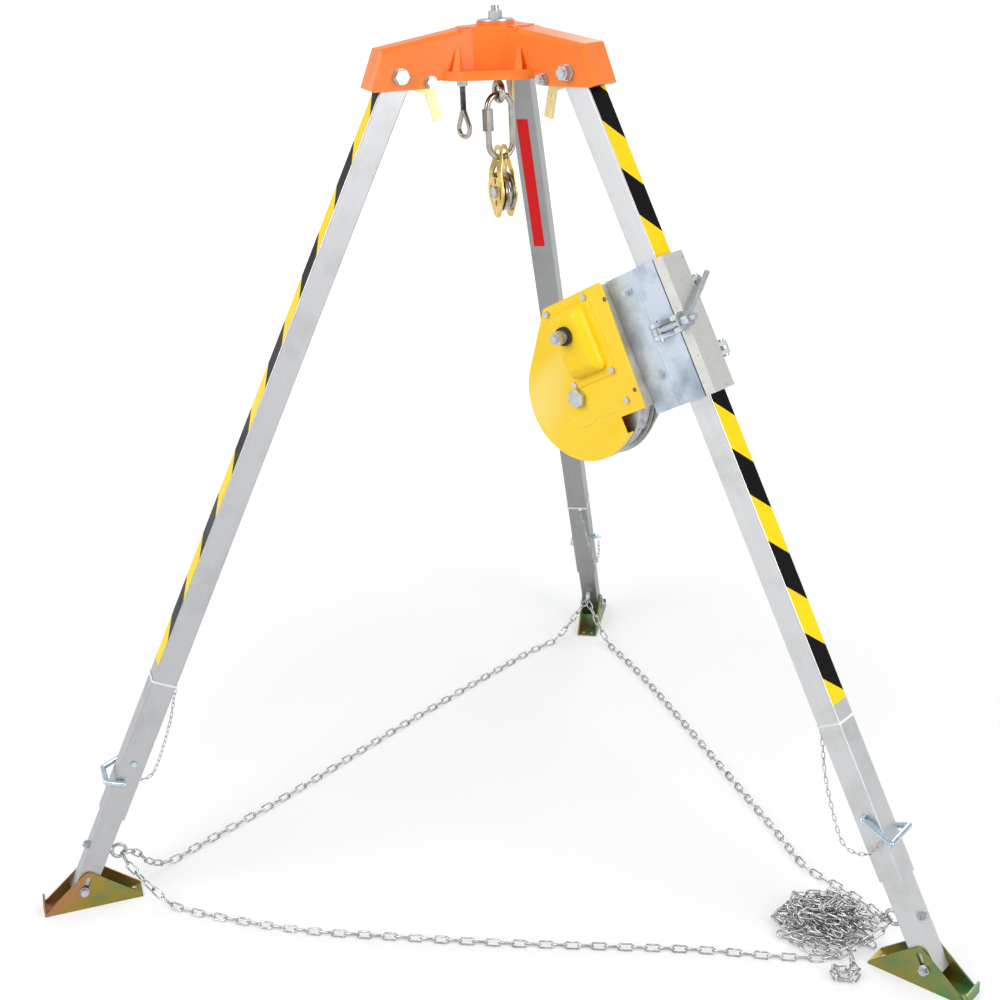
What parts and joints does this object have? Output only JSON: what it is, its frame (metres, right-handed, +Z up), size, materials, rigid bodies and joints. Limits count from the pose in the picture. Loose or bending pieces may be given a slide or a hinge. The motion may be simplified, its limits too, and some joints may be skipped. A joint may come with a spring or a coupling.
{
  "type": "rescue tripod with hand winch",
  "caption": "Telescopic rescue tripod with a cast head, chained feet, lock pins, a clamp-on geared hand winch and a hanging pulley.",
  "frame": {"origin": "on the floor, in the middle of the box around the three feet", "axes": "+Z up along the head axis, +Y towards the rear leg, +X towards the right leg side"},
  "size_m": [1.879, 1.6272, 1.7333],
  "materials": {
    "zinc_steel": "zinc plated",
    "orange_paint": "gloss paint",
    "gold_zinc": "yellow chromate",
    "bare_aluminium": "mill finish",
    "foot_steel": "yellow chromate",
    "white_nylon": "moulded",
    "chain_steel": "zinc plated",
    "clamp_aluminium": "machined",
    "yellow_paint": "gloss paint",
    "black_rubber": "moulded",
    "wire_rope": "galvanised"
  },
  "bodies": {
    "head": {"head_casting": "orange_paint", "anchor_bolt": "zinc_steel", "anchor_nut": "zinc_steel", "side_eye_bolt": "zinc_steel", "side_eye_nuts": "zinc_steel", "leg_pivot_bolts": "zinc_steel", "latch_bolts": "zinc_steel", "front_base_chain": "chain_steel", "left_base_chain": "chain_steel", "right_base_chain": "chain_steel", "chain_pile": "chain_steel"},
    "left_leg": {"left_outer_tube": "bare_aluminium", "left_cable_tie": "white_nylon", "left_tether": "zinc_steel"},
    "left_extension": {"left_inner_tube": "bare_aluminium", "left_foot_bolt": "zinc_steel", "left_chain_eye": "zinc_steel"},
    "left_foot_plate": {"left_foot": "foot_steel"},
    "left_pin": {"left_lock_pin": "zinc_steel"},
    "left_latch_tab": {"left_latch": "gold_zinc"},
    "right_leg": {"right_outer_tube": "bare_aluminium", "right_cable_tie": "white_nylon", "right_tether": "zinc_steel", "winch_bracket": "clamp_aluminium", "bracket_bolts": "zinc_steel", "clamp_gate": "clamp_aluminium", "clamp_pins": "zinc_steel", "winch_frame": "zinc_steel", "gear_cover": "yellow_paint", "brake_cover": "yellow_paint", "shaft_seal": "black_rubber", "cover_screws": "zinc_steel", "drum_bolt": "zinc_steel"},
    "right_extension": {"right_inner_tube": "bare_aluminium", "right_foot_bolt": "zinc_steel", "right_chain_eye": "zinc_steel"},
    "right_foot_plate": {"right_foot": "foot_steel"},
    "right_pin": {"right_lock_pin": "zinc_steel"},
    "right_latch_tab": {"right_latch": "gold_zinc"},
    "rear_leg": {"rear_outer_tube": "bare_aluminium", "rear_cable_tie": "white_nylon", "rear_tether": "zinc_steel"},
    "rear_extension": {"rear_inner_tube": "bare_aluminium", "rear_foot_bolt": "zinc_steel", "rear_chain_eye": "zinc_steel"},
    "rear_foot_plate": {"rear_foot": "foot_steel"},
    "rear_pin": {"rear_lock_pin": "zinc_steel"},
    "rear_latch_tab": {"rear_latch": "gold_zinc"},
    "clamp_bolt": {"swing_bolt": "zinc_steel"},
    "clamp_nut": {"clamp_lever": "zinc_steel"},
    "winch_drum": {"drum": "zinc_steel", "drum_gear": "zinc_steel", "wire_rope": "wire_rope"},
    "winch_drive": {"drive_shaft": "zinc_steel"},
    "hook_link": {"quick_link": "zinc_steel"},
    "hook_sleeve": {"link_sleeve": "zinc_steel"},
    "pulley_block": {"pulley_cheeks": "gold_zinc", "pulley_axle": "zinc_steel"},
    "pulley_wheel": {"sheave": "zinc_steel"}
  },
  "joints": [
    {"name": "left_fold", "type": "hinge", "parent": "head", "child": "left_leg", "pos_m": [-0.17147, -0.35504, 1.61977], "axis": [0.5, -0.866, 0], "range_deg": [0, 26.5], "deforming": ["front_base_chain", "left_base_chain"]},
    {"name": "left_extend", "type": "slide", "parent": "left_leg", "child": "left_extension", "axis": [-0.3864, -0.2231, -0.8949], "range_m": [0, 0.6]},
    {"name": "left_foot_tilt", "type": "hinge", "parent": "left_extension", "child": "left_foot_plate", "pos_m": [-0.85273, -0.74837, 0.042], "axis": [0.5, -0.866, 0], "range_deg": [-25, 25]},
    {"name": "left_pin_swing", "type": "hinge", "parent": "left_leg", "child": "left_pin", "pos_m": [-0.73526, -0.68055, 0.31406], "axis": [-0.5, 0.866, 0], "range_deg": [0, 100], "deforming": ["left_tether"]},
    {"name": "left_latch_swing", "type": "hinge", "parent": "head", "child": "left_latch_tab", "pos_m": [-0.12211, -0.32654, 1.60627], "axis": [0.5, -0.866, 0], "range_deg": [0, 30]},
    {"name": "right_fold", "type": "hinge", "parent": "head", "child": "right_leg", "pos_m": [0.17147, -0.35504, 1.61977], "axis": [0.5, 0.866, 0], "range_deg": [0, 26.5], "deforming": ["right_base_chain", "chain_pile"]},
    {"name": "right_extend", "type": "slide", "parent": "right_leg", "child": "right_extension", "axis": [0.3864, -0.2231, -0.8949], "range_m": [0, 0.6]},
    {"name": "right_foot_tilt", "type": "hinge", "parent": "right_extension", "child": "right_foot_plate", "pos_m": [0.85273, -0.74837, 0.042], "axis": [0.5, 0.866, 0], "range_deg": [-25, 25]},
    {"name": "right_pin_swing", "type": "hinge", "parent": "right_leg", "child": "right_pin", "pos_m": [0.73526, -0.68055, 0.31406], "axis": [-0.5, -0.866, 0], "range_deg": [0, 100], "deforming": ["right_tether"]},
    {"name": "right_latch_swing", "type": "hinge", "parent": "head", "child": "right_latch_tab", "pos_m": [0.12211, -0.32654, 1.60627], "axis": [0.5, 0.866, 0], "range_deg": [0, 30]},
    {"name": "rear_fold", "type": "hinge", "parent": "head", "child": "rear_leg", "pos_m": [0, -0.05804, 1.61977], "axis": [-1, 0, 0], "range_deg": [0, 26.5]},
    {"name": "rear_extend", "type": "slide", "parent": "rear_leg", "child": "rear_extension", "axis": [0, 0.4462, -0.8949], "range_m": [0, 0.6]},
    {"name": "rear_foot_tilt", "type": "hinge", "parent": "rear_extension", "child": "rear_foot_plate", "pos_m": [0, 0.7286, 0.042], "axis": [-1, 0, 0], "range_deg": [-25, 25]},
    {"name": "rear_pin_swing", "type": "hinge", "parent": "rear_leg", "child": "rear_pin", "pos_m": [0, 0.59296, 0.31406], "axis": [1, 0, 0], "range_deg": [0, 100], "deforming": ["rear_tether"]},
    {"name": "rear_latch_swing", "type": "hinge", "parent": "head", "child": "rear_latch_tab", "pos_m": [0, -0.11504, 1.60627], "axis": [-1, 0, 0], "range_deg": [0, 30]},
    {"name": "clamp_bolt_swing", "type": "hinge", "parent": "right_leg", "child": "clamp_bolt", "pos_m": [0.32619, -0.49749, 1.17232], "axis": [0.3864, -0.2231, -0.8949], "range_deg": [0, 100]},
    {"name": "clamp_nut_turn", "type": "hinge", "parent": "clamp_bolt", "child": "clamp_nut", "pos_m": [0.33859, -0.50465, 1.17946], "axis": [0.775, -0.4475, 0.4462], "continuous": true},
    {"name": "drum_spin", "type": "hinge", "parent": "right_leg", "child": "winch_drum", "pos_m": [0.19567, -0.36902, 1.02137], "axis": [0.5, 0.866, 0], "continuous": true},
    {"name": "drive_spin", "type": "hinge", "parent": "right_leg", "child": "winch_drive", "pos_m": [0.18806, -0.36462, 1.14706], "axis": [0.5, 0.866, 0], "continuous": true},
    {"name": "link_swing", "type": "hinge", "parent": "head", "child": "hook_link", "pos_m": [0, -0.25605, 1.55977], "axis": [-0.5948, 0.8039, 0], "range_deg": [-25, 25]},
    {"name": "sleeve_turn", "type": "hinge", "parent": "hook_link", "child": "hook_sleeve", "pos_m": [-0.0201, -0.27092, 1.52557], "axis": [0, 0, 1], "continuous": true},
    {"name": "pulley_swing", "type": "hinge", "parent": "hook_link", "child": "pulley_block", "pos_m": [0, -0.25605, 1.45759], "axis": [0.8039, 0.5948, 0], "range_deg": [-60, 60]},
    {"name": "sheave_spin", "type": "hinge", "parent": "pulley_block", "child": "pulley_wheel", "pos_m": [0, -0.25605, 1.38759], "axis": [0.8039, 0.5948, 0], "continuous": true}
  ],
  "couplings": [
    {"joint": "drive_spin", "follows": "drum_spin", "ratio": -5}
  ]
}
